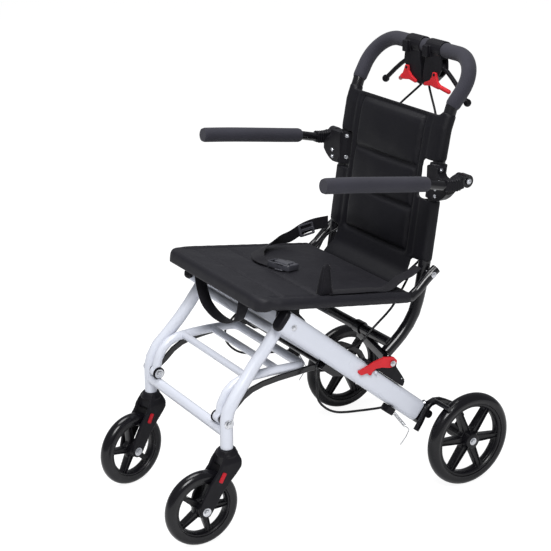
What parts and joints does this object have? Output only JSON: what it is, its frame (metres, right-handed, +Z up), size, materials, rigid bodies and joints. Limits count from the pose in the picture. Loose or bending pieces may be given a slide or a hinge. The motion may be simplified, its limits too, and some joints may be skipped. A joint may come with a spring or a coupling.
{
  "type": "transport chair",
  "caption": "Folding transport chair with small wheels, casters, flip-up armrests, a stowed footrest, a quilted black seat and hand brakes.",
  "frame": {"origin": "bottom centre of the bounding box, on the floor between the four wheels", "axes": "+Z up, -Y the way the chair faces, +X the sitter's left"},
  "size_m": [0.4924, 0.7677, 0.8935],
  "materials": {
    "white_paint": "satin silver-white paint",
    "black_paint": "gloss black paint",
    "black_plastic": "fine grain",
    "red_plastic": "gloss red",
    "zinc_steel": "bright zinc plate",
    "grey_tyre": "solid tyre, satin",
    "foam": "closed-cell foam",
    "black_fabric": "woven cover",
    "webbing": "ribbed webbing",
    "cable_jacket": "smooth jacket"
  },
  "bodies": {
    "frame": {"rail_left": "white_paint", "rail_right": "white_paint", "rail_cap_left": "black_plastic", "rail_cap_right": "black_plastic", "axle_arm_left": "black_paint", "axle_arm_right": "black_paint", "lock_bracket_left": "black_plastic", "lock_bracket_right": "black_plastic", "cable_stop_left": "black_plastic", "cable_stop_right": "black_plastic", "rear_axle_left": "zinc_steel", "rear_axle_right": "zinc_steel", "fold_bolt_left": "zinc_steel", "fold_bolt_right": "zinc_steel", "lower_cable_left": "cable_jacket", "lower_cable_right": "cable_jacket", "rear_cross_tube": "black_paint"},
    "legs": {"leg_frame": "white_paint", "footrest_bolt_left": "zinc_steel", "footrest_bolt_right": "zinc_steel"},
    "links": {"link_frame": "black_paint"},
    "footrest_unit": {"footrest": "white_paint"},
    "seat": {"seat_frame": "black_paint", "seat_pad": "black_fabric", "pull_strap": "webbing", "back_bolt_left": "zinc_steel", "back_bolt_right": "zinc_steel", "lap_belt_left": "webbing", "lap_belt_right": "webbing"},
    "back": {"back_frame": "black_paint", "handle_grip": "foam", "back_pad": "black_fabric", "arm_bracket_left": "black_plastic", "arm_bracket_right": "black_plastic", "brake_lever_body_left": "black_plastic", "brake_lever_body_right": "black_plastic", "upper_cable_left": "cable_jacket", "upper_cable_right": "cable_jacket"},
    "rear_wheel_unit_left": {"rear_tyre_left": "grey_tyre", "rear_wheel_left": "black_plastic"},
    "caster_left": {"caster_fork_left": "black_plastic"},
    "front_wheel_unit_left": {"front_tyre_left": "grey_tyre", "front_wheel_left": "black_plastic"},
    "armrest_left": {"arm_tube_left": "black_paint", "arm_pad_left": "foam"},
    "fold_lever_unit_left": {"fold_lever_left": "red_plastic"},
    "brake_bar_unit_left": {"brake_bar_left": "black_paint"},
    "brake_lever_unit_left": {"brake_lever_left": "black_plastic"},
    "parking_lock_unit_left": {"parking_lock_left": "red_plastic"},
    "rear_wheel_unit_right": {"rear_tyre_right": "grey_tyre", "rear_wheel_right": "black_plastic"},
    "caster_right": {"caster_fork_right": "black_plastic"},
    "front_wheel_unit_right": {"front_tyre_right": "grey_tyre", "front_wheel_right": "black_plastic"},
    "armrest_right": {"arm_tube_right": "black_paint", "arm_pad_right": "foam"},
    "fold_lever_unit_right": {"fold_lever_right": "red_plastic"},
    "brake_bar_unit_right": {"brake_bar_right": "black_paint"},
    "brake_lever_unit_right": {"brake_lever_right": "black_plastic"},
    "parking_lock_unit_right": {"parking_lock_right": "red_plastic"}
  },
  "joints": [
    {"name": "back_fold", "type": "hinge", "parent": "seat", "child": "back", "pos_m": [0, 0.206, 0.462], "axis": [1, 0, 0], "range_deg": [0, 86], "deforming": ["lap_belt_left", "lap_belt_right"]},
    {"name": "seat_fold", "type": "hinge", "parent": "frame", "child": "seat", "pos_m": [0, -0.119, 0.4157], "axis": [1, 0, 0], "range_deg": [-24.2, 0]},
    {"name": "leg_fold", "type": "hinge", "parent": "frame", "child": "legs", "pos_m": [0, -0.119, 0.4157], "axis": [1, 0, 0], "range_deg": [0, 42.2]},
    {"name": "link_fold", "type": "hinge", "parent": "legs", "child": "links", "pos_m": [0, -0.2505, 0.2415], "axis": [1, 0, 0], "range_deg": [-65.8, 0]},
    {"name": "footrest", "type": "hinge", "parent": "legs", "child": "footrest_unit", "pos_m": [0, -0.2505, 0.2415], "axis": [1, 0, 0], "range_deg": [-95, 0]},
    {"name": "rear_wheel_left", "type": "hinge", "parent": "frame", "child": "rear_wheel_unit_left", "pos_m": [0.2244, 0.284, 0.1], "axis": [1, 0, 0], "continuous": true},
    {"name": "caster_swivel_left", "type": "hinge", "parent": "legs", "child": "caster_left", "pos_m": [0.1555, -0.2505, 0.2], "axis": [0, 0, 1], "continuous": true},
    {"name": "front_wheel_left", "type": "hinge", "parent": "caster_left", "child": "front_wheel_unit_left", "pos_m": [0.154, -0.3069, 0.0767], "axis": [0.9997, -0.0262, 0], "continuous": true},
    {"name": "armrest_left", "type": "hinge", "parent": "back", "child": "armrest_left", "pos_m": [0.222, 0.247, 0.658], "axis": [1, 0, 0], "range_deg": [-95, 0]},
    {"name": "fold_lever_left", "type": "hinge", "parent": "frame", "child": "fold_lever_unit_left", "pos_m": [0.1875, 0.11087, 0.29389], "axis": [1, 0, 0], "range_deg": [-35, 0], "stiffness_Nm_per_rad": 0.06, "springref_deg": 5.73},
    {"name": "brake_bar_left", "type": "hinge", "parent": "frame", "child": "brake_bar_unit_left", "pos_m": [0.1925, 0.20224, 0.16329], "axis": [1, 0, 0], "range_deg": [-2.7, 0], "stiffness_Nm_per_rad": 2, "springref_deg": 1.15},
    {"name": "brake_lever_left", "type": "hinge", "parent": "back", "child": "brake_lever_unit_left", "pos_m": [0.053, 0.316, 0.842], "axis": [0, 1, 0], "range_deg": [-22.6, 0]},
    {"name": "parking_lock_left", "type": "hinge", "parent": "back", "child": "parking_lock_unit_left", "pos_m": [0.0456, 0.303, 0.826], "axis": [0, 1, 0], "range_deg": [0, 20]},
    {"name": "rear_wheel_right", "type": "hinge", "parent": "frame", "child": "rear_wheel_unit_right", "pos_m": [-0.2244, 0.284, 0.1], "axis": [1, 0, 0], "continuous": true},
    {"name": "caster_swivel_right", "type": "hinge", "parent": "legs", "child": "caster_right", "pos_m": [-0.1555, -0.2505, 0.2], "axis": [0, 0, 1], "continuous": true},
    {"name": "front_wheel_right", "type": "hinge", "parent": "caster_right", "child": "front_wheel_unit_right", "pos_m": [-0.1436, -0.3056, 0.0767], "axis": [0.9774, 0.2113, 0], "continuous": true},
    {"name": "armrest_right", "type": "hinge", "parent": "back", "child": "armrest_right", "pos_m": [-0.222, 0.247, 0.658], "axis": [1, 0, 0], "range_deg": [-95, 0]},
    {"name": "fold_lever_right", "type": "hinge", "parent": "frame", "child": "fold_lever_unit_right", "pos_m": [-0.1875, 0.11087, 0.29389], "axis": [1, 0, 0], "range_deg": [-35, 0], "stiffness_Nm_per_rad": 0.06, "springref_deg": 5.73},
    {"name": "brake_bar_right", "type": "hinge", "parent": "frame", "child": "brake_bar_unit_right", "pos_m": [-0.1925, 0.20224, 0.16329], "axis": [1, 0, 0], "range_deg": [-2.7, 0], "stiffness_Nm_per_rad": 2, "springref_deg": 1.15},
    {"name": "brake_lever_right", "type": "hinge", "parent": "back", "child": "brake_lever_unit_right", "pos_m": [-0.053, 0.316, 0.842], "axis": [0, 1, 0], "range_deg": [0, 22.6]},
    {"name": "parking_lock_right", "type": "hinge", "parent": "back", "child": "parking_lock_unit_right", "pos_m": [-0.0456, 0.303, 0.826], "axis": [0, 1, 0], "range_deg": [-20, 0]}
  ],
  "couplings": [
    {"joint": "seat_fold", "follows": "back_fold", "ratio": -0.27907},
    {"joint": "leg_fold", "follows": "back_fold", "ratio": 0.48837},
    {"joint": "link_fold", "follows": "back_fold", "ratio": -0.76279},
    {"joint": "brake_lever_left", "follows": "brake_bar_left", "ratio": 8.3333},
    {"joint": "brake_lever_right", "follows": "brake_bar_right", "ratio": -8.3333}
  ]
}
